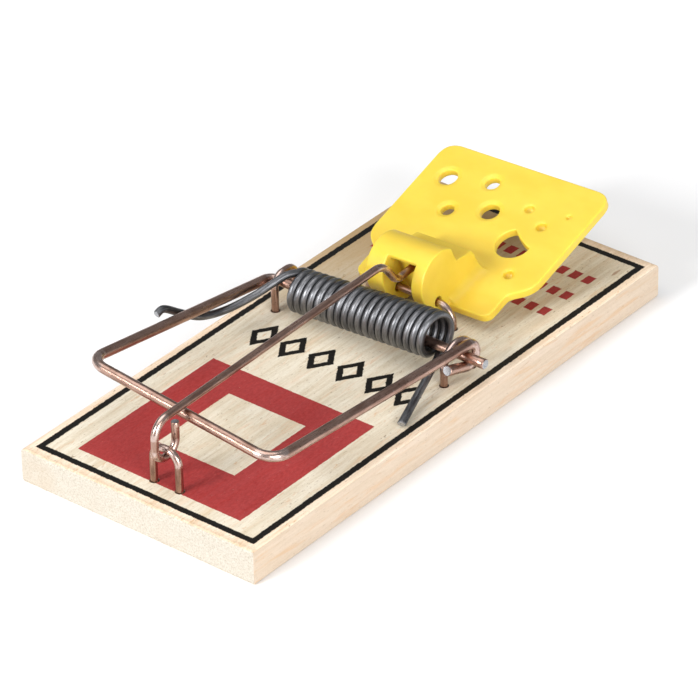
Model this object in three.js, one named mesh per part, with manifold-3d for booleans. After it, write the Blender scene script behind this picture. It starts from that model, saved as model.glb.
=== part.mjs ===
// A wooden snap mouse trap, set and ready, in millimetres.
//
// Frame: X runs across the board, Y along it from the hold-down end to the pedal end, Z up.
// The origin is at the centre of the board's underside.

import * as THREE from 'three';
import { mergeVertices } from 'three/addons/utils/BufferGeometryUtils.js';
import Module from 'manifold-3d';

const wasm = await Module();
wasm.setup();

// ---- driving dimensions -------------------------------------------------------------------

const BOARD_LENGTH = 98.4;
const BOARD_WIDTH = 44.5;
const BOARD_THICKNESS = 5.75;
const BOARD_EDGE = 0.4;

const BOW_WIRE = 0.825;          // wire radii
const HOLD_DOWN_WIRE = 0.625;
const STAPLE_WIRE = 0.6;
const SPRING_WIRE = 0.61;

const AXLE_Y = 4.8;              // the bow's pivot line
const AXLE_Z = 10.2;
const AXLE_HALF = 18.9;          // middle of the wire in each arm
const AXLE_END = 22.55;          // the cut end past the hook
const BOW_REACH = 43.88;         // pivot line to crossbar
const BOW_FRONT_HALF = 17.65;    // the arms close in a little towards the crossbar
const BOW_RISE_LEFT = 9.64;      // degrees that each arm rises from level: the spring twists the bow
const BOW_RISE_RIGHT = 5.07;
const BOW_CORNER = 3.2;
const HOOK_RADIUS = 1.8;         // the loose hook that wraps the axle
const HOOK_OFFSET_Y = 0.4;
const HOOK_OFFSET_Z = 0;
const HOOK_RISE = 18.8;          // degrees that its free end rises forwards
const HOOK_TAIL = 4.69;

const COIL_LEFT = -13.7;
const COIL_RIGHT = 13.7;
const COIL_TURNS = 20.5;
const COIL_RADIUS_LEFT = 2.94;
const COIL_RADIUS_RIGHT = 3.25;
const COIL_DROP_LEFT = 0.38;     // the loose coil hangs below the axle at its left end
const COIL_LIFT_RIGHT = 1.68;    // and is propped above it at its right end, by its own leg

const LEFT_STAPLE_SPAN = 5;      // between a staple's legs
const RIGHT_STAPLE_SPAN = 6.65;
const HOLD_DOWN_STAPLE_SPAN = 4.9;
const STAPLE_DEPTH = 4;          // driven into the wood
const HOLE_RADIUS = 0.8;

const HOLD_DOWN_X = 1.3;         // plane of the hold-down bar
const HOLD_DOWN_Y = -43.6;       // its staple
const HOLD_DOWN_Z = 12.2;        // top of that staple, middle of the wire
const J_RADIUS = 2.3;

const PEDAL_Y = 15.3;            // the pedal's pivot line
const PEDAL_Z = 9.5;
const PEDAL_TILT = 18.24;        // degrees, far edge up
const PEDAL_LEAN = 3.6;          // degrees, right side up: it sits loosely on its staple
const PEDAL_STAPLE_HALF = 8.2;

const PLATE_TOP = -2.16;         // the plate below the pivot line, in the pedal's own frame
const PLATE_THICKNESS = 1.4;
const PLATE_HALF = 16.35;
const PLATE_FAR = 30.9;
const PLATE_CORNER = 3;
const LOBE_HALF = 13.2;
const LOBE_NEAR = 1.5;
const CATCH_HALF = 5.55;         // half width of the catch block
const MOUTH_LEFT = -2.2;         // the mouth that takes the tip of the hold-down bar
const MOUTH_RIGHT = 3.4;
const MOUTH_BACK = 1.8;
const LEDGE_FRONT = 0.2;
const LEDGE_UNDERSIDE = 6.3;

const rad = THREE.MathUtils.degToRad;
const vec = (x, y, z) => new THREE.Vector3(x, y, z);

// ---- materials ----------------------------------------------------------------------------

const material = (color, roughness, metalness) =>
  new THREE.MeshStandardMaterial({ color, roughness, metalness });

const pine = () => material(0xd9c6a5, 0.75, 0);
const copperedWire = () => material(0xb08a72, 0.3, 1);
const springSteel = () => material(0x6b6d70, 0.35, 1);
const yellowPlastic = () => material(0xfce055, 0.45, 0);

// ---- solids and booleans ------------------------------------------------------------------

function toSolid(geometry) {
  const bare = geometry.index ? geometry.toNonIndexed() : geometry.clone();
  bare.deleteAttribute('normal');
  bare.deleteAttribute('uv');
  const merged = mergeVertices(bare, 1e-5);
  return new wasm.Manifold(new wasm.Mesh({
    numProp: 3,
    vertProperties: new Float32Array(merged.attributes.position.array),
    triVerts: new Uint32Array(merged.index.array),
  }));
}

function toGeometry(solid) {
  const mesh = solid.getMesh();
  const geometry = new THREE.BufferGeometry();
  geometry.setAttribute('position', new THREE.BufferAttribute(new Float32Array(mesh.vertProperties), 3));
  geometry.setIndex(new THREE.BufferAttribute(new Uint32Array(mesh.triVerts), 1));
  geometry.computeVertexNormals();
  return geometry;
}

// An outline in a plane of its own, swept along that plane's normal.
function prism(shape, depth, bevel, along, curveSegments = 8) {
  const geometry = new THREE.ExtrudeGeometry(shape, {
    depth: depth - 2 * bevel,
    bevelEnabled: bevel > 0,
    bevelThickness: bevel,
    bevelSize: bevel,
    bevelOffset: -bevel,
    bevelSegments: 2,
    curveSegments,
  });
  geometry.translate(0, 0, bevel);
  const [right, up, out] = along;
  geometry.applyMatrix4(new THREE.Matrix4().makeBasis(right, up, out));
  return geometry;
}

const FLAT = [vec(1, 0, 0), vec(0, 1, 0), vec(0, 0, 1)];
const SIDEWAYS = [vec(0, 1, 0), vec(0, 0, 1), vec(1, 0, 0)];
const LENGTHWAYS = [vec(-1, 0, 0), vec(0, 0, 1), vec(0, 1, 0)];

function block(x0, x1, y0, y1, z0, z1) {
  const geometry = new THREE.BoxGeometry(x1 - x0, y1 - y0, z1 - z0);
  geometry.translate((x0 + x1) / 2, (y0 + y1) / 2, (z0 + z1) / 2);
  return toSolid(geometry);
}

// ---- wire ---------------------------------------------------------------------------------

// A wire's centre line through stations of its own choosing, dense in its bends only.
class WireLine extends THREE.Curve {
  constructor(stations) {
    super();
    this.stations = stations;
  }

  getUtoTmapping(u) {
    return u;
  }

  getPoint(t, target = new THREE.Vector3()) {
    const last = this.stations.length - 1;
    const place = THREE.MathUtils.clamp(t, 0, 1) * last;
    const index = Math.min(Math.floor(place), last - 1);
    return target.lerpVectors(this.stations[index], this.stations[index + 1], place - index);
  }

  getTangent(t, target = new THREE.Vector3()) {
    const last = this.stations.length - 1;
    const index = Math.round(THREE.MathUtils.clamp(t, 0, 1) * last);
    const here = this.stations[index];
    const before = this.stations[Math.max(index - 1, 0)];
    const after = this.stations[Math.min(index + 1, last)];
    const back = here.clone().sub(before).normalize();
    const ahead = after.clone().sub(here).normalize();
    return target.copy(back.add(ahead)).normalize();
  }
}

function wire(stations, radius, sides = 10) {
  const section = new THREE.Shape(Array.from({ length: sides }, (_, i) => {
    const angle = (2 * Math.PI * i) / sides;
    return new THREE.Vector2(radius * Math.cos(angle), radius * Math.sin(angle));
  }));
  return new THREE.ExtrudeGeometry(section, {
    steps: stations.length - 1,
    extrudePath: new WireLine(stations),
    bevelEnabled: false,
  });
}

// Straight runs between corners, each corner rounded to its own radius.
function bentLine(corners, degreesPerStep = 15) {
  const stations = [corners[0].at];
  for (let i = 1; i < corners.length - 1; i += 1) {
    const { at, radius } = corners[i];
    const back = corners[i - 1].at.clone().sub(at).normalize();
    const ahead = corners[i + 1].at.clone().sub(at).normalize();
    const turn = Math.PI - back.angleTo(ahead);
    const trim = radius * Math.tan(turn / 2);
    const toCentre = back.clone().add(ahead).normalize();
    const centre = at.clone().addScaledVector(toCentre, radius / Math.cos(turn / 2));
    const start = at.clone().addScaledVector(back, trim).sub(centre);
    const end = at.clone().addScaledVector(ahead, trim).sub(centre);
    const axis = start.clone().cross(end).normalize();
    const steps = Math.max(2, Math.ceil(THREE.MathUtils.radToDeg(turn) / degreesPerStep));
    for (let step = 0; step <= steps; step += 1) {
      const spoke = start.clone().applyAxisAngle(axis, (turn * step) / steps);
      stations.push(centre.clone().add(spoke));
    }
  }
  stations.push(corners[corners.length - 1].at);
  return stations;
}

// An arc in a plane of constant X. Angles are in degrees, from +Y towards +Z.
function arcStations(x, y, z, radius, from, to, steps) {
  return Array.from({ length: steps + 1 }, (_, i) => {
    const angle = rad(from + ((to - from) * i) / steps);
    return vec(x, y + radius * Math.cos(angle), z + radius * Math.sin(angle));
  });
}

// ---- board --------------------------------------------------------------------------------

function legPlaces() {
  return [...axleStaples, pedalStaple, holdDownStaple].flatMap((staple) => staple.legs);
}

function boardGeometry() {
  const x = BOARD_WIDTH / 2;
  const y = BOARD_LENGTH / 2;
  const outline = new THREE.Shape();
  outline.moveTo(-x, -y);
  outline.lineTo(x, -y);
  outline.lineTo(x, y);
  outline.lineTo(-x, y);
  outline.closePath();
  let board = toSolid(prism(outline, BOARD_THICKNESS, BOARD_EDGE, FLAT));
  const depth = STAPLE_DEPTH + 0.3;
  for (const [legX, legY] of legPlaces()) {
    const drill = new THREE.CylinderGeometry(HOLE_RADIUS, HOLE_RADIUS, depth + 1, 12);
    drill.rotateX(Math.PI / 2);
    drill.translate(legX, legY, BOARD_THICKNESS - depth + (depth + 1) / 2);
    board = board.subtract(toSolid(drill));
  }
  return toGeometry(board);
}

// ---- staples ------------------------------------------------------------------------------

const alongY = (x, y, span, top, corner) => ({
  top,
  corner,
  legs: [[x, y], [x, y + span]],
});

const alongX = (x, y, half, top, corner) => ({
  top,
  corner,
  legs: [[x - half, y], [x + half, y]],
});

const axleStaples = [
  alongY(-16.8, 3.1, LEFT_STAPLE_SPAN, 11.75, 2),
  alongY(16.9, 1.95, RIGHT_STAPLE_SPAN, 11.8, 3.3),
];
const pedalStaple = alongX(0, PEDAL_Y, PEDAL_STAPLE_HALF, PEDAL_Z, 2.8);
const holdDownStaple =
  alongX(HOLD_DOWN_X, HOLD_DOWN_Y, HOLD_DOWN_STAPLE_SPAN / 2, HOLD_DOWN_Z, 2.25);

function stapleGeometry({ legs, top, corner }) {
  const foot = BOARD_THICKNESS - STAPLE_DEPTH;
  const [[x0, y0], [x1, y1]] = legs;
  return wire(bentLine([
    { at: vec(x0, y0, foot) },
    { at: vec(x0, y0, top), radius: corner },
    { at: vec(x1, y1, top), radius: corner },
    { at: vec(x1, y1, foot) },
  ]), STAPLE_WIRE, 8);
}

// ---- hammer bow: axle, two arms, crossbar and hook, all one wire -----------------------------

function bowCorner(side, rise) {
  return vec(
    side * BOW_FRONT_HALF,
    AXLE_Y - BOW_REACH * Math.cos(rad(rise)),
    AXLE_Z + BOW_REACH * Math.sin(rad(rise)),
  );
}

function bowGeometry() {
  const hookY = AXLE_Y + HOOK_OFFSET_Y;
  const hookZ = AXLE_Z + HOOK_OFFSET_Z;
  const last = -90 - HOOK_RISE;
  const hook = arcStations(AXLE_HALF, hookY, hookZ, HOOK_RADIUS, 84, last, 12);
  const tail = vec(0, -Math.cos(rad(HOOK_RISE)), Math.sin(rad(HOOK_RISE)));
  const cutEnd = hook[hook.length - 1].clone().addScaledVector(tail, HOOK_TAIL);
  const stations = bentLine([
    { at: vec(AXLE_END, AXLE_Y, AXLE_Z) },
    { at: vec(-AXLE_HALF, AXLE_Y, AXLE_Z), radius: 1.7 },
    { at: bowCorner(-1, BOW_RISE_LEFT), radius: BOW_CORNER },
    { at: bowCorner(1, BOW_RISE_RIGHT), radius: BOW_CORNER },
    { at: hook[0] },
  ]);
  return wire([...stations, ...hook.slice(1), cutEnd], BOW_WIRE);
}

// ---- spring: coil with the leg that bears on the board, and the leg that bears on the bow -----

function coilStation(turn) {
  const along = turn / COIL_TURNS;
  const radius = THREE.MathUtils.lerp(COIL_RADIUS_RIGHT, COIL_RADIUS_LEFT, along);
  const centre = AXLE_Z + THREE.MathUtils.lerp(COIL_LIFT_RIGHT, -COIL_DROP_LEFT, along);
  const angle = -Math.PI / 2 + 2 * Math.PI * turn;
  return vec(
    THREE.MathUtils.lerp(COIL_RIGHT, COIL_LEFT, along),
    AXLE_Y + 0.1 + radius * Math.cos(angle),
    centre + radius * Math.sin(angle),
  );
}

function coilGeometry() {
  const perTurn = 15;
  const turns = Math.round(COIL_TURNS * perTurn);
  const coil = Array.from({ length: turns + 1 }, (_, i) => coilStation(i / perTurn));
  const onBoard = BOARD_THICKNESS + SPRING_WIRE + 0.1;
  const leg = new THREE.CatmullRomCurve3([
    vec(19.05, -11.05, onBoard),
    vec(17.28, -5.65, onBoard + 0.7),
    vec(15.52, -0.25, onBoard + 1.41),
    vec(14.45, 3, onBoard + 1.84),
    coil[0],
  ]);
  return wire([...leg.getPoints(20).slice(0, -1), ...coil], SPRING_WIRE, 8);
}

function hammerLegGeometry() {
  const leg = new THREE.CatmullRomCurve3([
    vec(-15.15, 1.6, 12.35),
    vec(-16.5, -1.9, 11.1),
    vec(-18, -7, 10.45),
    vec(-19.2, -11.6, 11.1),
    vec(-20.1, -15.1, 13.15),
    vec(-20.7, -18.1, 15.1),
    vec(-20.9, -19.6, 14.8),
  ]);
  return wire(leg.getPoints(28), SPRING_WIRE, 8);
}

// ---- hold-down bar --------------------------------------------------------------------------

function holdDownGeometry() {
  const x = HOLD_DOWN_X;
  const bottom = HOLD_DOWN_Z - STAPLE_WIRE - HOLD_DOWN_WIRE - 0.15;
  const hook = arcStations(x, HOLD_DOWN_Y + 0.05, bottom + J_RADIUS, J_RADIUS, 0, -180, 12);
  const bar = bentLine([
    { at: hook[hook.length - 1] },
    { at: vec(x, HOLD_DOWN_Y + 0.05 - J_RADIUS, 17.55), radius: 2.8 },
    { at: vec(x, 7, 18.65), radius: 3.6 },
    { at: vec(x, 10.3, 14.35), radius: 2.2 },
    { at: vec(x, 15, 14.8) },
  ]);
  const freeEnd = vec(x, hook[0].y, 15.8);
  return wire([freeEnd, ...hook, ...bar.slice(1)], HOLD_DOWN_WIRE);
}

// ---- pedal: a plate with holes, and a catch block with a mouth, in one moulding ---------------

function circleHole(x, y, radius) {
  return new THREE.Path().absarc(x, y, radius, 0, 2 * Math.PI, true);
}

// A round hole with a slice of it left filled.
function bittenHole() {
  const hole = new THREE.Path();
  const from = rad(3);
  const to = rad(118);
  hole.absarc(7.5, 16.3, 3, from, to, true);
  hole.quadraticCurveTo(7.9, 17.3, 7.5 + 3 * Math.cos(from), 16.3 + 3 * Math.sin(from));
  return hole;
}

function plateShape() {
  const shape = new THREE.Shape();
  const right = PLATE_HALF;
  const step = 10.5;
  shape.moveTo(LOBE_HALF - 1.8, LOBE_NEAR);
  shape.quadraticCurveTo(LOBE_HALF, LOBE_NEAR, LOBE_HALF, LOBE_NEAR + 1.8);
  shape.lineTo(LOBE_HALF, step - 4.4);
  shape.bezierCurveTo(LOBE_HALF, step - 2.6, right, step - 2.6, right, step + 1);
  shape.lineTo(right, PLATE_FAR - PLATE_CORNER);
  shape.quadraticCurveTo(right, PLATE_FAR, right - PLATE_CORNER, PLATE_FAR);
  shape.lineTo(-right + PLATE_CORNER, PLATE_FAR);
  shape.quadraticCurveTo(-right, PLATE_FAR, -right, PLATE_FAR - PLATE_CORNER);
  shape.lineTo(-right, step + 1);
  shape.bezierCurveTo(-right, step - 2.6, -LOBE_HALF, step - 2.6, -LOBE_HALF, step - 4.4);
  shape.lineTo(-LOBE_HALF, LOBE_NEAR + 1.8);
  shape.quadraticCurveTo(-LOBE_HALF, LOBE_NEAR, -LOBE_HALF + 1.8, LOBE_NEAR);
  shape.closePath();
  shape.holes.push(
    circleHole(-11.6, 24.4, 1.6),
    circleHole(-3.9, 26, 1.2),
    circleHole(-7.3, 18.5, 1.1),
    circleHole(-0.5, 20.7, 1.6),
    bittenHole(),
  );
  return shape;
}

// Side view of the catch block: a round nose, a high step and a low step behind it.
function catchShape() {
  const shape = new THREE.Shape();
  shape.absarc(2.15, 2.4, 5, rad(225), rad(42), true);
  shape.lineTo(6.05, 3.05);
  shape.lineTo(9.8, 1.6);
  shape.lineTo(10.1, PLATE_TOP - 0.8);
  shape.lineTo(0.8, PLATE_TOP - 1.1);
  shape.closePath();
  return shape;
}

// The concave corner between the catch block's side and the plate.
function filletShape(side) {
  const size = 1.7;
  const low = PLATE_TOP - 0.5;
  const foot = side * (CATCH_HALF - 0.6);
  const shape = new THREE.Shape();
  shape.moveTo(-foot, low);
  shape.lineTo(-side * (CATCH_HALF + size), low);
  shape.lineTo(-side * (CATCH_HALF + size), PLATE_TOP + 0.02);
  shape.quadraticCurveTo(-side * CATCH_HALF, PLATE_TOP, -side * CATCH_HALF, PLATE_TOP + size);
  shape.lineTo(-foot, PLATE_TOP + size);
  shape.closePath();
  return shape;
}

function dimple(x, y, radius, depth) {
  const ballRadius = (radius * radius + depth * depth) / (2 * depth);
  const ball = new THREE.SphereGeometry(ballRadius, 14, 10);
  ball.translate(x, y, PLATE_TOP + ballRadius - depth);
  return toSolid(ball);
}

function pedalGeometry() {
  const plate = prism(plateShape(), PLATE_THICKNESS, 0.35, FLAT, 6);
  plate.translate(0, 0, PLATE_TOP - PLATE_THICKNESS);
  const catchBlock = prism(catchShape(), 2 * CATCH_HALF, 0.4, SIDEWAYS, 10);
  catchBlock.translate(-CATCH_HALF, 0, 0);
  let pedal = toSolid(plate).add(toSolid(catchBlock));
  for (const side of [-1, 1]) {
    const fillet = prism(filletShape(side), 7.9, 0, LENGTHWAYS, 5);
    fillet.translate(0, LOBE_NEAR + 0.6, 0);
    pedal = pedal.add(toSolid(fillet));
  }
  const mouth = block(MOUTH_LEFT, MOUTH_RIGHT, -5, LEDGE_FRONT, -6, 9);
  const pocket = block(MOUTH_LEFT, MOUTH_RIGHT, 0, MOUTH_BACK, -6, LEDGE_UNDERSIDE);
  const bore = new THREE.CylinderGeometry(0.85, 0.85, 30, 14);
  bore.rotateZ(Math.PI / 2);
  bore.rotateY(rad(PEDAL_LEAN / 2));
  pedal = pedal.subtract(mouth).subtract(pocket).subtract(toSolid(bore));
  for (const [x, y, radius] of [[5.35, 23.5, 0.75], [9.5, 21, 0.8], [10.8, 10.5, 0.8], [12.4, 24.4, 0.4]]) {
    pedal = pedal.subtract(dimple(x, y, radius, radius * 1.4));
  }
  return toGeometry(pedal);
}

// ---- assembly -------------------------------------------------------------------------------

function named(name, geometry, look) {
  const mesh = new THREE.Mesh(geometry, look);
  mesh.name = name;
  return mesh;
}

const trap = new THREE.Group();
trap.name = 'snap_mouse_trap';
trap.add(
  named('base_board', boardGeometry(), pine()),
  named('spring_staple_left', stapleGeometry(axleStaples[0]), copperedWire()),
  named('spring_staple_right', stapleGeometry(axleStaples[1]), copperedWire()),
  named('pedal_staple', stapleGeometry(pedalStaple), copperedWire()),
  named('hold_down_staple', stapleGeometry(holdDownStaple), copperedWire()),
  named('spring_coil', coilGeometry(), springSteel()),
  named('spring_hammer_leg', hammerLegGeometry(), springSteel()),
  named('hammer_bow', bowGeometry(), copperedWire()),
  named('hold_down_bar', holdDownGeometry(), copperedWire()),
);

const pedalFrame = new THREE.Group();
pedalFrame.position.set(0, PEDAL_Y, PEDAL_Z);
pedalFrame.rotation.set(rad(PEDAL_TILT), rad(-PEDAL_LEAN), 0);
pedalFrame.add(named('pedal', pedalGeometry(), yellowPlastic()));
trap.add(pedalFrame);

export default trap;
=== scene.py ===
"""A wooden snap mouse trap: its looks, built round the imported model.

Lengths are in millimetres until a mesh is made, and in metres for the light, the camera and the floor.
"""

import math

import bmesh
import bpy
from mathutils import Matrix, Vector


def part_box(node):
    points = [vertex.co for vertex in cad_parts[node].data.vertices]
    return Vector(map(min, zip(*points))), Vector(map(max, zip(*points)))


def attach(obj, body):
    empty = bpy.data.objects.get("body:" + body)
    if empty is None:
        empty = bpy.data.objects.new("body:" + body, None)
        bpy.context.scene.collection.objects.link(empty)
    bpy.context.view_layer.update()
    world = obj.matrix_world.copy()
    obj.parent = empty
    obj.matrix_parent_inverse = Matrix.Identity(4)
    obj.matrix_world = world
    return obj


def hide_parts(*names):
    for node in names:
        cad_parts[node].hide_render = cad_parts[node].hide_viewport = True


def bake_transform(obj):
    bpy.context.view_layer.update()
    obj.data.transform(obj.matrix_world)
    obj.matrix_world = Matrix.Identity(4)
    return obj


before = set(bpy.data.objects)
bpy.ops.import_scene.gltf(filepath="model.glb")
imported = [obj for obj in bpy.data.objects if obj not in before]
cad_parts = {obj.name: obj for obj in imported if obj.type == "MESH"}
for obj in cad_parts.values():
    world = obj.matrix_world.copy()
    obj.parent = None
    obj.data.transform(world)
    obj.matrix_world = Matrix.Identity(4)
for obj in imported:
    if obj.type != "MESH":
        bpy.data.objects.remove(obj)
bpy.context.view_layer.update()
MM = 0.001

# ---- driving dimensions, as in the CAD ------------------------------------------------------

BOARD_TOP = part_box("base_board")[1].z / MM
AXLE_Y, AXLE_Z = 4.8, 10.2
AXLE_HALF, AXLE_END = 18.9, 22.55
BOW_REACH, BOW_FRONT_HALF = 43.88, 17.65
BOW_RISE = {-1: 9.64, 1: 5.07}
HOOK = dict(y=AXLE_Y + 0.4, z=AXLE_Z, radius=1.8, rise=18.8, tail=4.69)
BOW_WIRE, HOLD_DOWN_WIRE, STAPLE_WIRE, SPRING_WIRE = 0.825, 0.625, 0.6, 0.61
COIL_LEFT, COIL_RIGHT, COIL_TURNS = -13.7, 13.7, 20.5
COIL_RADIUS_LEFT, COIL_RADIUS_RIGHT = 2.94, 3.25
COIL_DROP_LEFT, COIL_LIFT_RIGHT = 0.38, 1.68
HOLD_DOWN = dict(x=1.3, y=-43.55, z=12.2, radius=2.3)
PEDAL_PLACE, PEDAL_TILT, PEDAL_LEAN = Vector((0, 15.3, 9.5)), 18.24, 3.6
STAPLE_IN_WOOD = 4


def vec(*xyz):
    return Vector(xyz)


# ---- wire -----------------------------------------------------------------------------------

TIGHT_BEND = 3.0
CHAMFER, CHAMFER_SCALE = 0.12, 0.88
FLAT_RUN, FLAT_SPREAD = 7.0, 0.55


def bent_line(corners, step=5.0):
    """Straight runs between corners; each corner is (point, radius)."""
    line = [corners[0][0]]
    for i in range(1, len(corners) - 1):
        at, radius = corners[i]
        back = (corners[i - 1][0] - at).normalized()
        ahead = (corners[i + 1][0] - at).normalized()
        turn = math.pi - back.angle(ahead)
        trim = radius * math.tan(turn / 2)
        centre = at + (back + ahead).normalized() * (radius / math.cos(turn / 2))
        start = at + back * trim - centre
        end = at + ahead * trim - centre
        axis = start.cross(end).normalized()
        count = max(3, math.ceil(math.degrees(turn) / step))
        for k in range(count + 1):
            line.append(centre + Matrix.Rotation(turn * k / count, 3, axis) @ start)
    line.append(corners[-1][0])
    return line


def arc(x, y, z, radius, start, end, count=30):
    angles = [math.radians(start + (end - start) * k / count) for k in range(count + 1)]
    return [vec(x, y + radius * math.cos(a), z + radius * math.sin(a)) for a in angles]


def smooth_line(points, per_span=14):
    """A Catmull-Rom line through the points."""
    line = []
    padded = [points[0] * 2 - points[1], *points, points[-1] * 2 - points[-2]]
    for a, b, c, d in zip(padded, padded[1:], padded[2:], padded[3:]):
        for k in range(per_span):
            t = k / per_span
            square = (2 * a - 5 * b + 4 * c - d) * t**2
            cube = (3 * b - a - 3 * c + d) * t**3
            line.append(0.5 * (2 * b + (c - a) * t + square + cube))
    return [*line, points[-1]]


def split_long(line, longest=1.2):
    out = [line[0]]
    for a, b in zip(line, line[1:]):
        count = max(1, math.ceil((b - a).length / longest))
        out += [a.lerp(b, k / count) for k in range(1, count + 1)]
    return out


def stations(line, level_start):
    """The point, its tangent, an untwisted spoke, the way run and how bent it is, all along a line."""
    tangents = []
    for i, p in enumerate(line):
        before, after = line[max(i - 1, 0)], line[min(i + 1, len(line) - 1)]
        tangents.append(((p - before).normalized() + (after - p).normalized()).normalized())
    spoke = tangents[0].orthogonal().normalized()
    if level_start:
        spoke = (vec(0, 0, 1) - tangents[0] * tangents[0].z).normalized()
    out, run = [], 0.0
    for i, p in enumerate(line):
        if i:
            run += (p - line[i - 1]).length
            spoke = (spoke - tangents[i] * spoke.dot(tangents[i])).normalized()
        before, after = max(i - 1, 0), min(i + 1, len(line) - 1)
        turn_per_mm = tangents[before].angle(tangents[after], 0.0) / (line[after] - line[before]).length
        out.append((p, tangents[i], spoke.copy(), run, min(1.0, turn_per_mm * TIGHT_BEND)))
    return out


def chamfered(points, radius):
    """Adds a small chamfer's ring at each end, and gives every ring its scale."""
    rings = [[*point, 1.0] for point in points]
    first, last = rings[0], rings[-1]
    rings.insert(0, [first[0], first[1], first[2], 0.0, 0.0, CHAMFER_SCALE])
    rings.append([last[0], last[1], last[2], last[3], 0.0, CHAMFER_SCALE])
    first[0] = first[0] + first[1] * CHAMFER * radius
    last[0] = last[0] - last[1] * CHAMFER * radius
    return rings


def wire(name, line, radius, materials, sides=20, flat_start=0.0):
    """A wire along a line, with cut ends, hammered a little flat at its start where flat_start says so.

    Its mesh carries the place along and round the straightened wire, and how bent it is there.
    """
    bm = bmesh.new()
    place = bm.verts.layers.float_vector.new("wire_place")
    curl = bm.verts.layers.float.new("wire_bend")
    made = []
    rings = chamfered(stations(split_long(line), flat_start > 0), radius)
    for p, tangent, spoke, run, bend, scale in rings:
        other = tangent.cross(spoke)
        flatten = max(0.0, 1 - run / FLAT_RUN) * flat_start
        ring = []
        for k in range(sides):
            a = 2 * math.pi * k / sides
            up, out = math.cos(a) * (1 - flatten), math.sin(a) * (1 + FLAT_SPREAD * flatten)
            v = bm.verts.new((p + (spoke * up + other * out) * radius * scale) * MM)
            v[place] = (run, radius * math.cos(a), radius * math.sin(a))
            v[curl] = bend
            ring.append(v)
        made.append(ring)
    for a, b in zip(made, made[1:]):
        for k in range(sides):
            n = (k + 1) % sides
            bm.faces.new((a[k], a[n], b[n], b[k])).smooth = True
    for cap in (list(reversed(made[0])), made[-1]):
        bm.faces.new(cap).material_index = 1
    bm.normal_update()
    mesh = bpy.data.meshes.new(name)
    bm.to_mesh(mesh)
    bm.free()
    for m in materials:
        mesh.materials.append(m)
    piece = bpy.data.objects.new(name, mesh)
    bpy.context.scene.collection.objects.link(piece)
    return piece


# ---- node expressions -----------------------------------------------------------------------


class Sum:
    """A number in a node tree. Arithmetic on it adds Math nodes."""

    def __init__(self, tree, socket):
        self.tree, self.socket = tree, socket

    def math(self, operation, *others):
        node = self.tree.nodes.new("ShaderNodeMath")
        node.operation = operation
        for slot, value in zip(node.inputs, (self, *others)):
            if isinstance(value, Sum):
                self.tree.links.new(value.socket, slot)
            else:
                slot.default_value = value
        return Sum(self.tree, node.outputs[0])

    def __add__(self, other):
        return self.math("ADD", other)

    def __sub__(self, other):
        return self.math("SUBTRACT", other)

    def __mul__(self, other):
        return self.math("MULTIPLY", other)

    def __neg__(self):
        return self.math("MULTIPLY", -1.0)

    def abs(self):
        return self.math("ABSOLUTE")

    def max(self, other):
        return self.math("MAXIMUM", other)

    def step(self, low, high, to_low=0.0, to_high=1.0):
        """Rises smoothly from to_low to to_high as the number goes from low to high."""
        node = self.tree.nodes.new("ShaderNodeMapRange")
        node.interpolation_type = "SMOOTHSTEP"
        self.tree.links.new(self.socket, node.inputs["Value"])
        for key, value in (("From Min", low), ("From Max", high), ("To Min", to_low), ("To Max", to_high)):
            node.inputs[key].default_value = value
        return Sum(self.tree, node.outputs["Result"])


class Surface:
    """A material being put together: its Principled shader and short calls for the nodes it uses."""

    def __init__(self, name, **constants):
        self.material = bpy.data.materials.new(name)
        self.material.use_nodes = True
        self.tree = self.material.node_tree
        self.shader = self.tree.nodes["Principled BSDF"]
        for key, value in constants.items():
            self.shader.inputs[key.replace("_", " ")].default_value = value

    def new(self, kind, **settings):
        node = self.tree.nodes.new(kind)
        for key, value in settings.items():
            setattr(node, key, value)
        return node

    def place(self, attribute=None):
        """The surface point in millimetres: in the row frame, or along a straightened wire."""
        if attribute:
            return self.new("ShaderNodeAttribute", attribute_name=attribute).outputs["Vector"]
        source = self.new("ShaderNodeTexCoord").outputs["Object"]
        scaled = self.new("ShaderNodeVectorMath", operation="SCALE")
        self.tree.links.new(source, scaled.inputs[0])
        scaled.inputs["Scale"].default_value = 1000
        return scaled.outputs[0]

    def axes(self, place):
        node = self.new("ShaderNodeSeparateXYZ")
        self.tree.links.new(place, node.inputs[0])
        return [Sum(self.tree, s) for s in node.outputs]

    def noise(self, place, scale=(1, 1, 1), detail=2.0, roughness=0.5, shift=0.0, distortion=0.0):
        mapping = self.new("ShaderNodeMapping")
        self.tree.links.new(place, mapping.inputs["Vector"])
        mapping.inputs["Scale"].default_value = scale
        mapping.inputs["Location"].default_value = (shift, shift * 1.7, shift * 0.6)
        node = self.new("ShaderNodeTexNoise")
        self.tree.links.new(mapping.outputs[0], node.inputs["Vector"])
        node.inputs["Scale"].default_value = 1.0
        node.inputs["Detail"].default_value = detail
        node.inputs["Roughness"].default_value = roughness
        node.inputs["Distortion"].default_value = distortion
        return Sum(self.tree, node.outputs["Fac"])

    def mix(self, share, a, b):
        """Colour a where share is 0 and b where it is 1."""
        node = self.new("ShaderNodeMix", data_type="RGBA")
        self.tree.links.new(share.socket, node.inputs["Factor"])
        for slot, value in (("A", a), ("B", b)):
            target = next(s for s in node.inputs if s.name == slot and s.type == "RGBA")
            if isinstance(value, bpy.types.NodeSocket):
                self.tree.links.new(value, target)
            else:
                target.default_value = (*value, 1)
        return next(s for s in node.outputs if s.type == "RGBA")

    def set(self, key, value):
        self.tree.links.new(value.socket if isinstance(value, Sum) else value, self.shader.inputs[key])

    def bump(self, height, distance, strength=1.0):
        node = self.new("ShaderNodeBump")
        self.tree.links.new(height.socket, node.inputs["Height"])
        node.inputs["Distance"].default_value = distance * MM
        node.inputs["Strength"].default_value = strength
        self.tree.links.new(node.outputs[0], self.shader.inputs["Normal"])


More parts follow.
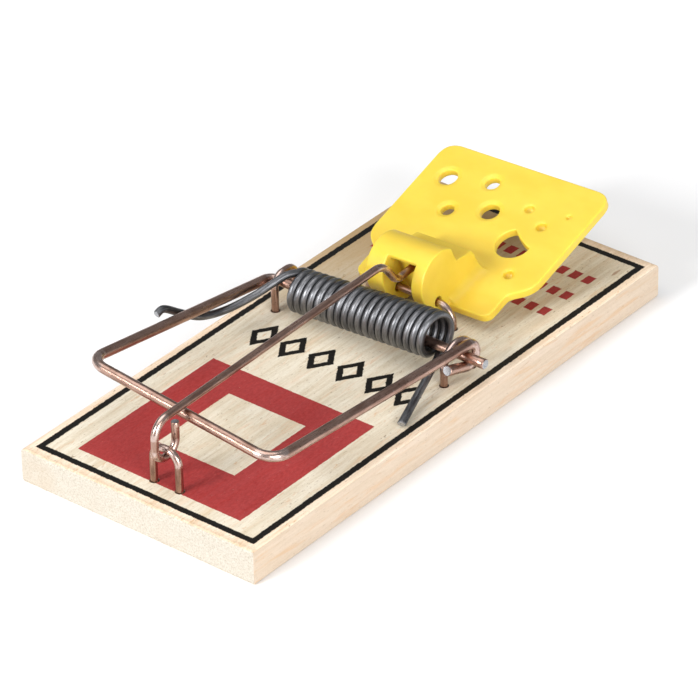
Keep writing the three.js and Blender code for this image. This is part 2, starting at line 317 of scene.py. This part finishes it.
def srgb(r, g, b):
    """Linear colour from the 0 to 255 values of a display."""
    return tuple(c / 255 / 12.92 if c <= 10 else ((c / 255 + 0.055) / 1.055) ** 2.4 for c in (r, g, b))


# ---- wood with its print --------------------------------------------------------------------


PRINT_HALF_WIDTH, PRINT_HALF_LENGTH = 20.8, 47.4
DIAMOND_ROW_Y, DIAMOND_PITCH = -3.5, 5.6
DASH_ROWS_Y, DASH_ROW_PITCH, DASH_PITCH = 33.4, 5.65, 2.5


def board_faces(s):
    """How far the point is on the sawn ends, on the long sides and on the top, from 0 to 1."""
    normal = s.new("ShaderNodeNewGeometry").outputs["Normal"]
    turned = s.new("ShaderNodeVectorTransform", vector_type="NORMAL")
    turned.convert_from, turned.convert_to = "WORLD", "OBJECT"
    s.tree.links.new(normal, turned.inputs[0])
    facing_x, facing_y, facing_z = s.axes(turned.outputs[0])
    return facing_y.abs().step(0.6, 0.9), facing_x.abs().step(0.6, 0.9), facing_z.step(0.6, 0.9)


def pine(s, place, grain, end, side, top):
    """Bare pine: broad bands, fine fibre, short brown flecks, pores, and a darker stretch."""
    x, y, _ = s.axes(place)
    broad = s.noise(place, (0.2, 0.02, 0.3), 4, 0.55, 3.0, 0.9)
    fleck = s.noise(place, (1.9, 0.3, 1.9), 3, 0.62, 27.0, 0.8)
    cloud = s.noise(place, (0.1, 0.06, 0.1), 3, 0.5, 8.0)
    knot = s.noise(place, (0.5, 0.16, 0.5), 2, 0.5, 61.0)
    warm = s.noise(place, (0.8, 0.08, 0.8), 4, 0.62, 71.0, 0.8)
    chip = s.noise(place, (1.5, 0.55, 1.5), 2, 0.6, 83.0)
    streak, fibre, pore, speckle = grain
    inside = (x.abs() - 20.4).max(y.abs() - 47.0).step(-0.4, 0.6, 1, 0) * top
    base = s.mix(streak.step(0.3, 0.72), srgb(246, 227, 206), srgb(226, 201, 172))
    plain = s.mix(streak.step(0.3, 0.75), srgb(229, 221, 203), srgb(206, 192, 166))
    base = s.mix(inside, base, plain)
    base = s.mix(broad.step(0.5, 0.75, 0, 0.42), base, srgb(206, 176, 138))
    base = s.mix(fibre.step(0.5, 0.8, 0, 0.34), base, srgb(176, 152, 118))
    base = s.mix(speckle.step(0.5, 0.72, 0, 0.3), base, srgb(166, 146, 116))
    base = s.mix(fleck.step(0.6, 0.72, 0, 0.55), base, srgb(204, 158, 110))
    base = s.mix(cloud.step(0.5, 0.8, 0, 0.22), base, srgb(186, 165, 135))
    base = s.mix(pore.step(0.68, 0.78, 0, 0.55), base, srgb(134, 102, 72))
    base = s.mix(knot.step(0.74, 0.79, 0, 0.6), base, srgb(146, 96, 66))
    base = s.mix(chip.step(0.7, 0.76, 0, 0.6) * top, base, srgb(122, 96, 66))
    base = s.mix(warm.step(0.54, 0.7, 0, 0.3) * top, base, srgb(222, 178, 140))
    toasted = (y * 0.75 - x).step(13.0, 43.0, 0, 0.84) * top
    base = s.mix(toasted, base, srgb(168, 138, 92))
    handled = (y.abs() - 47.7).step(0.1, 1.2, 0, 0.6) * speckle.step(0.35, 0.7, 0.35, 1) * top
    base = s.mix(handled, base, srgb(178, 150, 116))
    sawn = s.mix(speckle.step(0.4, 0.68), srgb(186, 183, 174), srgb(156, 149, 136))
    sawn = s.mix(cloud.step(0.45, 0.75, 0, 0.4), sawn, srgb(172, 152, 128))
    base = s.mix(end * 0.85, base, sawn)
    base = s.mix(side * 0.6, base, srgb(184, 169, 152))
    return s.mix(warm.step(0.5, 0.68, 0, 0.5) * side, base, srgb(206, 168, 130))


def black_print(x, y, bleed):
    """A line round the board and a row of hollow diamonds."""
    border = (x.abs() - PRINT_HALF_WIDTH).max(y.abs() - PRINT_HALF_LENGTH) + bleed
    line = border.step(-1.06, -0.92) * border.step(0.04, 0.18, 1, 0)
    cell = ((x + 50.0).math("MODULO", DIAMOND_PITCH) - DIAMOND_PITCH / 2).abs()
    diamond = (cell * 1.5 + (y - DIAMOND_ROW_Y).abs()) * 0.55 - 1.95 + bleed
    hollow = diamond.step(-0.06, 0.06, 1, 0) * diamond.step(-1.04, -0.9)
    return line.max(hollow * (x + 0.2).abs().step(16.4, 16.6, 1, 0))


def red_print(x, y, bleed):
    """A rectangular ring, three rows of dashes, and a slip of ink over the edge at the far end."""
    ring_outside = (x.abs() - 15.6).max((y + 28.6).abs() - 15.5)
    ring_hole = (x.abs() - 7.4).max((y + 27.4).abs() - 8.2)
    ring = (ring_outside.max(-ring_hole) + bleed * 0.6).step(-0.05, 0.05, 1, 0)
    row = ((y - 25.0).math("MODULO", DASH_ROW_PITCH) - 2.8).abs()
    dash = ((x + 60.0).math("MODULO", DASH_PITCH) - 1.2).abs()
    dashes = ((dash - 0.78).max(row - 1.1) + bleed * 0.7).step(-0.08, 0.08, 1, 0)
    dashes = dashes * x.abs().step(17.6, 17.8, 1, 0) * (y - DASH_ROWS_Y).abs().step(8.4, 8.5, 1, 0)
    slip = ((y - 49.35).abs() + bleed * 1.5).step(0.1, 0.3, 1, 0) * (x - 4.0).abs().step(10.0, 14.0, 1, 0)
    return ring.max(dashes).max(slip * 0.7)


def wood():
    s = Surface("printed_wood", Roughness=0.72, Specular_IOR_Level=0.2)
    place = s.place()
    x, y, _ = s.axes(place)
    end, side, top = board_faces(s)
    streak = s.noise(place, (1.1, 0.07, 1.1), 5, 0.65, 11.0, 0.8)
    fibre = s.noise(place, (5.5, 0.9, 5.5), 3, 0.65, 5.0, 0.8)
    pore = s.noise(place, (5.0, 1.3, 5.0), 1, 0.5, 21.0)
    speckle = s.noise(place, (3.4, 3.4, 3.4), 4, 0.75, 2.0)
    base = pine(s, place, (streak, fibre, pore, speckle), end, side, top)

    # ink, on the top face only, with edges that bleed a little into the grain
    bleed = (s.noise(place, (2.6, 1.6, 2.6), 3, 0.65, 31.0) - 0.5) * 0.42
    missed = s.noise(place, (5.0, 4.0, 5.0), 3, 0.75, 41.0).step(0.71, 0.76)
    soak = s.noise(place, (3.0, 1.4, 3.0), 4, 0.65, 51.0)
    black = black_print(x, y, bleed) * top
    red = red_print(x, y, bleed) * top * missed.math("SUBTRACT", 1.0).abs()
    ink_red = s.mix(soak.step(0.3, 0.75), srgb(146, 14, 26), srgb(166, 38, 43))
    ink_black = s.mix(soak.step(0.5, 0.8), srgb(16, 14, 11), srgb(40, 34, 26))
    base = s.mix(red * 0.95, base, ink_red)
    base = s.mix(black, base, ink_black)
    s.set("Base Color", base)
    s.set("Roughness", (fibre * 0.22 + 0.6) - red.max(black) * 0.12)
    relief = fibre * 0.6 + pore.step(0.66, 0.8, 1, 0) * 0.6 + speckle * 0.5
    s.bump(relief + speckle * end * 1.2 + streak * 0.2, 0.05, 0.75)
    return s.material


# ---- metals ---------------------------------------------------------------------------------


def coppered():
    s = Surface("coppered_wire", Metallic=1.0, Roughness=0.34)
    place = s.place("wire_place")
    bend = Sum(s.tree, s.new("ShaderNodeAttribute", attribute_name="wire_bend").outputs["Fac"])
    tarnish = s.noise(place, (0.22, 0.9, 0.9), 4, 0.62, 4.0)
    drawn = s.noise(place, (0.5, 7.0, 7.0), 3, 0.6, 9.0)
    rubbed = s.noise(place, (0.9, 1.6, 1.6), 3, 0.6, 14.0)
    spots = s.noise(place, (3.4, 3.4, 3.4), 2, 0.6, 23.0)
    colour = s.mix(tarnish.step(0.32, 0.68), srgb(190, 157, 142), srgb(146, 114, 100))
    colour = s.mix(drawn.step(0.45, 0.75, 0, 0.5), colour, srgb(190, 162, 150))
    colour = s.mix(spots.step(0.6, 0.72, 0, 0.6), colour, srgb(70, 48, 40))
    # Lighter, shinier pinkish-silver: on tight bends this is a painted highlight together with copper
    # rubbed thin there; the random rubbed patches elsewhere are wear.
    wear_and_bend_highlight = (bend.step(0.15, 0.8, 0, 0.75) * rubbed.step(0.3, 0.6)).max(rubbed.step(0.66, 0.78, 0, 0.6))
    colour = s.mix(wear_and_bend_highlight, colour, srgb(216, 196, 188))
    s.set("Base Color", colour)
    s.set("Roughness", tarnish * 0.16 + drawn * 0.12 + 0.16 - wear_and_bend_highlight * 0.04)
    s.bump(drawn * 0.6 + spots * 0.8 + rubbed * 1.2, 0.03, 0.55)
    return s.material


def spring_steel():
    s = Surface("spring_steel", Metallic=1.0, Roughness=0.3)
    place = s.place("wire_place")
    drawn = s.noise(place, (0.35, 8.0, 8.0), 3, 0.6, 2.0)
    oil = s.noise(place, (0.16, 0.8, 0.8), 3, 0.6, 7.0)
    spots = s.noise(place, (2.6, 3.4, 3.4), 3, 0.6, 17.0)
    scratch = s.noise(place, (0.5, 13.0, 13.0), 2, 0.5, 29.0)
    colour = s.mix(oil.step(0.35, 0.7), srgb(129, 130, 133), srgb(86, 87, 90))
    colour = s.mix(drawn.step(0.5, 0.78, 0, 0.6), colour, srgb(182, 183, 186))
    colour = s.mix(scratch.step(0.54, 0.66, 0, 0.6), colour, srgb(54, 54, 56))
    colour = s.mix(spots.step(0.6, 0.72, 0, 0.6), colour, srgb(44, 43, 43))
    s.set("Base Color", colour)
    s.set("Roughness", oil * 0.2 + drawn * 0.2 + scratch * 0.12 + 0.16)
    s.bump(drawn * 0.8 + spots * 0.5 - scratch.step(0.5, 0.7) * 0.6, 0.025, 0.6)
    return s.material


def cut_steel():
    s = Surface("cut_steel", Metallic=1.0, Roughness=0.4)
    place = s.place()
    grain = s.noise(place, (9.0, 3.0, 9.0), 3, 0.6, 1.0)
    s.set("Base Color", s.mix(grain.step(0.3, 0.7), srgb(200, 202, 205), srgb(140, 142, 147)))
    s.set("Roughness", grain * 0.3 + 0.3)
    s.bump(grain, 0.04, 0.8)
    return s.material


# ---- plastic --------------------------------------------------------------------------------


def yellow_plastic():
    s = Surface("yellow_plastic", Roughness=0.4, IOR=1.49, Subsurface_Weight=0.5, Subsurface_Scale=0.0026)
    s.shader.inputs["Subsurface Radius"].default_value = (1.0, 0.75, 0.2)
    place = s.place()
    flow = s.noise(place, (0.11, 0.2, 0.2), 3, 0.5, 6.0)
    orange_peel = s.noise(place, (1.7, 1.7, 1.7), 2, 0.5, 3.0)
    grain = s.noise(place, (8.0, 8.0, 8.0), 2, 0.5, 13.0)
    scuff = s.noise(place, (0.7, 6.0, 6.0), 3, 0.6, 19.0).step(0.68, 0.78)
    colour = s.mix(flow.step(0.3, 0.7), srgb(225, 196, 70), srgb(218, 187, 60))
    colour = s.mix(scuff * 0.25, colour, srgb(232, 208, 108))
    s.set("Base Color", colour)
    s.set("Roughness", flow * 0.08 + grain * 0.1 + 0.3 + scuff * 0.12)
    s.bump(orange_peel * 0.7 + grain * 0.3 - scuff * 0.2, 0.03, 0.35)
    return s.material


WOOD, COPPER, STEEL, CUT, YELLOW = wood(), coppered(), spring_steel(), cut_steel(), yellow_plastic()

board_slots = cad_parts["base_board"].data.materials
board_slots.clear()
board_slots.append(WOOD)

# ---- hammer, staples and hold-down bar --------------------------------------------------------


def bow_corner(side):
    rise = math.radians(BOW_RISE[side])
    reach = vec(0, -math.cos(rise), math.sin(rise)) * BOW_REACH
    return vec(side * BOW_FRONT_HALF, AXLE_Y, AXLE_Z) + reach


def bow_line():
    rise = math.radians(HOOK["rise"])
    hook = arc(AXLE_HALF, HOOK["y"], HOOK["z"], HOOK["radius"], 84, -90 - HOOK["rise"])
    cut = hook[-1] + vec(0, -math.cos(rise), math.sin(rise)) * HOOK["tail"]
    bow = bent_line([
        (vec(AXLE_END, AXLE_Y, AXLE_Z), 0),
        (vec(-AXLE_HALF, AXLE_Y, AXLE_Z), 1.7),
        (bow_corner(-1), 3.2),
        (bow_corner(1), 3.2),
        (hook[0], 0),
    ])
    return [*bow, *hook[1:], cut]


def staple_line(start, end, top, corner):
    foot = BOARD_TOP - STAPLE_IN_WOOD
    return bent_line([
        (vec(*start, foot), 0),
        (vec(*start, top), corner),
        (vec(*end, top), corner),
        (vec(*end, foot), 0),
    ])


def hold_down_line():
    x, y, radius = HOLD_DOWN["x"], HOLD_DOWN["y"], HOLD_DOWN["radius"]
    bottom = HOLD_DOWN["z"] - STAPLE_WIRE - HOLD_DOWN_WIRE - 0.15
    hook = arc(x, y, bottom + radius, radius, 0, -180)
    bar = bent_line([
        (hook[-1], 0),
        (vec(x, y - radius, 17.55), 2.8),
        (vec(x, 7, 18.65), 3.6),
        (vec(x, 10.3, 14.35), 2.2),
        (vec(x, 15, 14.8), 0),
    ])
    return [vec(x, hook[0].y, 15.8), *hook, *bar[1:]]


def coppered_piece(name, line, radius, body, node, **more):
    piece = wire(name, line, radius, (COPPER, CUT), **more)
    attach(piece, body)
    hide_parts(node)


coppered_piece("hammer_wire", bow_line(), BOW_WIRE, "hammer", "hammer_bow", sides=24)
coppered_piece("hold_down_wire", hold_down_line(), HOLD_DOWN_WIRE, "hold_down", "hold_down_bar")
for name, node, start, end, top, corner in (
    ("left_staple", "spring_staple_left", (-16.8, 3.1), (-16.8, 8.1), 11.75, 2.0),
    ("right_staple", "spring_staple_right", (16.9, 1.95), (16.9, 8.6), 11.8, 3.3),
    ("pedal_pivot_staple", "pedal_staple", (-8.2, 15.3), (8.2, 15.3), 9.5, 2.8),
    ("hold_down_anchor", "hold_down_staple", (-1.15, -43.6), (3.75, -43.6), 12.2, 2.25),
):
    coppered_piece(name, staple_line(start, end, top, corner), STAPLE_WIRE, "base", node)

# ---- pedal: one moulding, made in its own level frame and then set at its tilt ---------------------

PLATE_TOP, PLATE_THICKNESS = -2.16, 1.4
PLATE_HALF, PLATE_FAR, LOBE_HALF, LOBE_NEAR, LOBE_STEP = 16.35, 30.9, 13.2, 1.5, 10.5
CATCH_HALF, MOUTH_LEFT, MOUTH_RIGHT, MOUTH_BACK = 5.55, -2.2, 3.4, 1.8
LEDGE_FRONT, LEDGE_UNDERSIDE = 0.2, 6.3
FLAT = Matrix.Identity(3)
SIDEWAYS = Matrix(((0, 0, 1), (1, 0, 0), (0, 1, 0)))
LENGTHWAYS = Matrix(((1, 0, 0), (0, 0, 1), (0, 1, 0)))
HOLES = ((-11.6, 24.4, 1.6), (-3.9, 26, 1.2), (-7.3, 18.5, 1.1), (-0.5, 20.7, 1.6))
DISH_RIM, DISH_DEPTH = 0.75, 0.42
DIMPLES = ((5.35, 23.5, 0.75), (9.5, 21, 0.8), (10.8, 10.5, 0.8), (12.4, 24.4, 0.4))
STAPLE_BORE, BELOW, ABOVE = 0.85, -6, 9
REMESH_VOXEL, KEPT_FACES = 0.12, 0.3


def curve(*points, count=12):
    """A Bezier curve through its control points' first and last."""
    degree = len(points) - 1
    out = []
    for k in range(count + 1):
        t = k / count
        weights = [math.comb(degree, i) * t**i * (1 - t) ** (degree - i) for i in range(degree + 1)]
        out.append(tuple(sum(w * p[axis] for w, p in zip(weights, points)) for axis in (0, 1)))
    return out


def round_arc(x, y, radius, start, end, count=32):
    angles = [math.radians(start + (end - start) * k / count) for k in range(count + 1)]
    return [(x + radius * math.cos(a), y + radius * math.sin(a)) for a in angles]


def slab(outline, low, high, turn=FLAT):
    """A solid between two heights over an outline, turned into place."""
    bm = bmesh.new()
    rings = [[bm.verts.new(turn @ vec(u, v, h)) for u, v in outline] for h in (low, high)]
    bm.faces.new(rings[0])
    bm.faces.new(rings[1])
    for k in range(len(outline)):
        n = (k + 1) % len(outline)
        bm.faces.new((rings[0][k], rings[0][n], rings[1][n], rings[1][k]))
    return solid(bm)


def ball(x, y, z, radius):
    bm = bmesh.new()
    bmesh.ops.create_icosphere(bm, subdivisions=4, radius=radius, matrix=Matrix.Translation((x, y, z)))
    return solid(bm)


def solid(bm):
    bmesh.ops.recalc_face_normals(bm, faces=bm.faces)
    mesh = bpy.data.meshes.new("working")
    bm.to_mesh(mesh)
    bm.free()
    made = bpy.data.objects.new("working", mesh)
    bpy.context.scene.collection.objects.link(made)
    return made


def bake(piece):
    """Applies the piece's modifiers."""
    graph = bpy.context.evaluated_depsgraph_get()
    graph.update()
    mesh = bpy.data.meshes.new_from_object(piece.evaluated_get(graph))
    piece.modifiers.clear()
    piece.data = mesh


def combine(piece, others, operation):
    for other in others:
        step = piece.modifiers.new("combine", "BOOLEAN")
        step.object, step.operation, step.solver = other, operation, "MANIFOLD"
        bake(piece)
        bpy.data.objects.remove(other)


def plate_outline():
    half = [
        *curve((LOBE_HALF - 1.8, LOBE_NEAR), (LOBE_HALF, LOBE_NEAR), (LOBE_HALF, LOBE_NEAR + 1.8)),
        *curve((LOBE_HALF, LOBE_STEP - 4.4), (LOBE_HALF, LOBE_STEP - 2.6),
               (PLATE_HALF, LOBE_STEP - 2.6), (PLATE_HALF, LOBE_STEP + 1), count=20),
        *curve((PLATE_HALF, PLATE_FAR - 3), (PLATE_HALF, PLATE_FAR), (PLATE_HALF - 3, PLATE_FAR)),
    ]
    return half + [(-x, y) for x, y in reversed(half)]


def catch_outline():
    return [
        *round_arc(2.15, 2.4, 5, 225, 42, 60),
        (6.05, 3.05), (9.8, 1.6), (10.1, PLATE_TOP - 0.8), (0.8, PLATE_TOP - 1.1),
    ]


def fillet_outline(side, size=1.7):
    foot, face = side * (CATCH_HALF - 0.6), side * CATCH_HALF
    low = PLATE_TOP - 0.5
    out = side * (CATCH_HALF + size)
    return [
        (foot, low), (out, low),
        *curve((out, PLATE_TOP + 0.02), (face, PLATE_TOP), (face, PLATE_TOP + size)),
        (foot, PLATE_TOP + size),
    ]


def bitten_outline():
    x, y = 7.5, 16.3
    ring = round_arc(x, y, 3, 3, 118 - 360, 48)
    return ring + curve(ring[-1], (7.9, 17.3), ring[0])[1:-1]


def catch_cuts():
    """The mouth for the hold-down bar's tip, the pocket under the mouth's ledge, and the staple's bore."""
    mouth = [(MOUTH_LEFT, BELOW), (MOUTH_RIGHT, BELOW), (MOUTH_RIGHT, ABOVE), (MOUTH_LEFT, ABOVE)]
    pocket = [
        (MOUTH_LEFT, BELOW), (MOUTH_RIGHT, BELOW),
        *round_arc(MOUTH_RIGHT - 0.6, LEDGE_UNDERSIDE - 0.6, 0.6, 0, 90, 6),
        *round_arc(MOUTH_LEFT + 0.6, LEDGE_UNDERSIDE - 0.6, 0.6, 90, 180, 6),
    ]
    askew = Matrix.Rotation(math.radians(PEDAL_LEAN / 2), 3, "Y") @ SIDEWAYS
    bore = slab(round_arc(0, 0, STAPLE_BORE, 0, 345, 23), -15, 15, askew)
    return [slab(mouth, -5, LEDGE_FRONT, LENGTHWAYS), slab(pocket, -0.2, MOUTH_BACK, LENGTHWAYS), bore]


def plate_cuts():
    """Dished holes, and dimples that are each a small deep ball inside a wide shallow one."""
    cuts = [slab(bitten_outline(), BELOW, 2)]
    for x, y, radius in HOLES:
        cuts.append(slab(round_arc(x, y, radius, 0, 352.5, 47), BELOW, 2))
        dish = ((radius + DISH_RIM) ** 2 + DISH_DEPTH**2) / (2 * DISH_DEPTH)
        cuts.append(ball(x, y, PLATE_TOP - DISH_DEPTH + dish, dish))
    for x, y, radius in DIMPLES:
        cuts.append(ball(x, y, PLATE_TOP - 0.343 * radius, 1.057 * radius))
        cuts.append(ball(x, y, PLATE_TOP + 7.3 * radius, 7.5 * radius))
    return cuts


def soften(piece):
    """Rounds every edge a little, as on a moulding."""
    even = piece.modifiers.new("even", "REMESH")
    even.mode, even.voxel_size = "VOXEL", REMESH_VOXEL
    rub = piece.modifiers.new("rub", "SMOOTH")
    rub.factor, rub.iterations = 0.5, 2
    thin = piece.modifiers.new("thin", "DECIMATE")
    thin.ratio = KEPT_FACES
    bake(piece)


def pedal():
    piece = slab(plate_outline(), PLATE_TOP - PLATE_THICKNESS, PLATE_TOP)
    block = slab(catch_outline(), -CATCH_HALF, CATCH_HALF, SIDEWAYS)
    near, far = LOBE_NEAR + 0.6, LOBE_NEAR + 8.5
    fillets = [slab(fillet_outline(side), near, far, LENGTHWAYS) for side in (-1, 1)]
    combine(piece, [block, *fillets], "UNION")
    combine(piece, [*catch_cuts(), *plate_cuts()], "DIFFERENCE")
    soften(piece)
    lean = Matrix.Rotation(math.radians(-PEDAL_LEAN), 4, "Y")
    tilt = Matrix.Rotation(math.radians(PEDAL_TILT), 4, "X") @ lean
    piece.data.transform(Matrix.Scale(MM, 4) @ Matrix.Translation(PEDAL_PLACE) @ tilt)
    for face in piece.data.polygons:
        face.use_smooth = True
    piece.name = piece.data.name = "bait_pedal"
    piece.data.materials.clear()
    piece.data.materials.append(YELLOW)
    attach(piece, "pedal")
    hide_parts("pedal")


pedal()

# ---- spring ---------------------------------------------------------------------------------


def coil_point(turn):
    """A point of the coil, turn by turn from its right end, which is wider and sits higher on the axle."""
    along = turn / COIL_TURNS
    radius = COIL_RADIUS_RIGHT + (COIL_RADIUS_LEFT - COIL_RADIUS_RIGHT) * along
    centre = AXLE_Z + COIL_LIFT_RIGHT - (COIL_DROP_LEFT + COIL_LIFT_RIGHT) * along
    angle = -math.pi / 2 + 2 * math.pi * turn
    x = COIL_RIGHT + (COIL_LEFT - COIL_RIGHT) * along
    return vec(x, AXLE_Y + 0.1 + radius * math.cos(angle), centre + radius * math.sin(angle))


def spring_line():
    on_board = BOARD_TOP + SPRING_WIRE + 0.1
    per_turn = 40
    coil = [coil_point(k / per_turn) for k in range(int(COIL_TURNS * per_turn) + 1)]
    board_leg = smooth_line([
        vec(19.05, -11.05, on_board),
        vec(17.28, -5.65, on_board + 0.7),
        vec(15.52, -0.25, on_board + 1.41),
        vec(14.45, 3, on_board + 1.84),
        coil[0],
    ])
    hammer_leg = smooth_line([
        coil[-1],
        vec(-14.45, 3.3, 12.85),
        vec(-15.15, 1.6, 12.35),
        vec(-16.5, -1.9, 11.1),
        vec(-18, -7, 10.45),
        vec(-19.2, -11.6, 11.1),
        vec(-20.1, -15.1, 13.15),
        vec(-20.7, -18.1, 15.1),
        vec(-20.9, -19.6, 14.8),
    ])
    return [*board_leg[:-1], *coil, *hammer_leg[1:]]


spring = wire("torsion_spring", spring_line(), SPRING_WIRE, (STEEL, CUT), sides=16, flat_start=0.3)
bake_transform(spring)
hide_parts("spring_coil", "spring_hammer_leg")

# ---- floor, light and camera ------------------------------------------------------------------


def floor():
    mesh = bpy.data.meshes.new("floor")
    half = 3.0
    corners = [(-half, -half, 0), (half, -half, 0), (half, half, 0), (-half, half, 0)]
    mesh.from_pydata(corners, [], [(0, 1, 2, 3)])
    plane = bpy.data.objects.new("floor", mesh)
    bpy.context.scene.collection.objects.link(plane)
    plane.location.z = -0.05 * MM
    s = Surface("floor_paper", Roughness=0.9)
    grain = s.noise(s.place(), (0.02, 0.02, 0.02), 2, 0.5)
    s.set("Base Color", s.mix(grain, (0.93, 0.93, 0.93), (0.9, 0.9, 0.9)))
    mesh.materials.append(s.material)


def lamp(name, place, size, power, colour=(1, 1, 1)):
    light = bpy.data.lights.new(name, "AREA")
    light.shape, light.size, light.energy, light.color = "DISK", size, power, colour
    lamp_object = bpy.data.objects.new(name, light)
    bpy.context.scene.collection.objects.link(lamp_object)
    lamp_object.location = place
    lamp_object.rotation_euler = (-Vector(place)).to_track_quat("-Z", "Y").to_euler()


def camera():
    """Seen from the hold-down end and the right, from well above."""
    data = bpy.data.cameras.new("camera")
    data.sensor_width, data.lens = 36, 263.38
    data.clip_start, data.clip_end = 0.01, 20
    eye = bpy.data.objects.new("camera", data)
    bpy.context.scene.collection.objects.link(eye)
    eye.location = (0.415229, -0.502162, 0.420819)
    eye.rotation_euler = [math.radians(angle) for angle in (57.55685, 1.1325, 38.85223)]
    bpy.context.scene.camera = eye


def light():
    world = bpy.data.worlds.new("studio")
    bpy.context.scene.world = world
    world.use_nodes = True
    sky = world.node_tree.nodes["Background"].inputs
    sky["Color"].default_value = (0.93, 0.96, 1.0, 1)
    sky["Strength"].default_value = 0.27
    lamp("key", (-0.2, -0.1, 1.3), 1.4, 9.0, (1.0, 0.98, 0.97))
    lamp("fill", (1.15, -0.55, 0.46), 0.85, 16.6)
    lamp("front", (-0.32, -1.15, 0.58), 0.5, 16.2)
    bpy.context.scene.view_settings.view_transform = "Standard"


floor()
light()
camera()
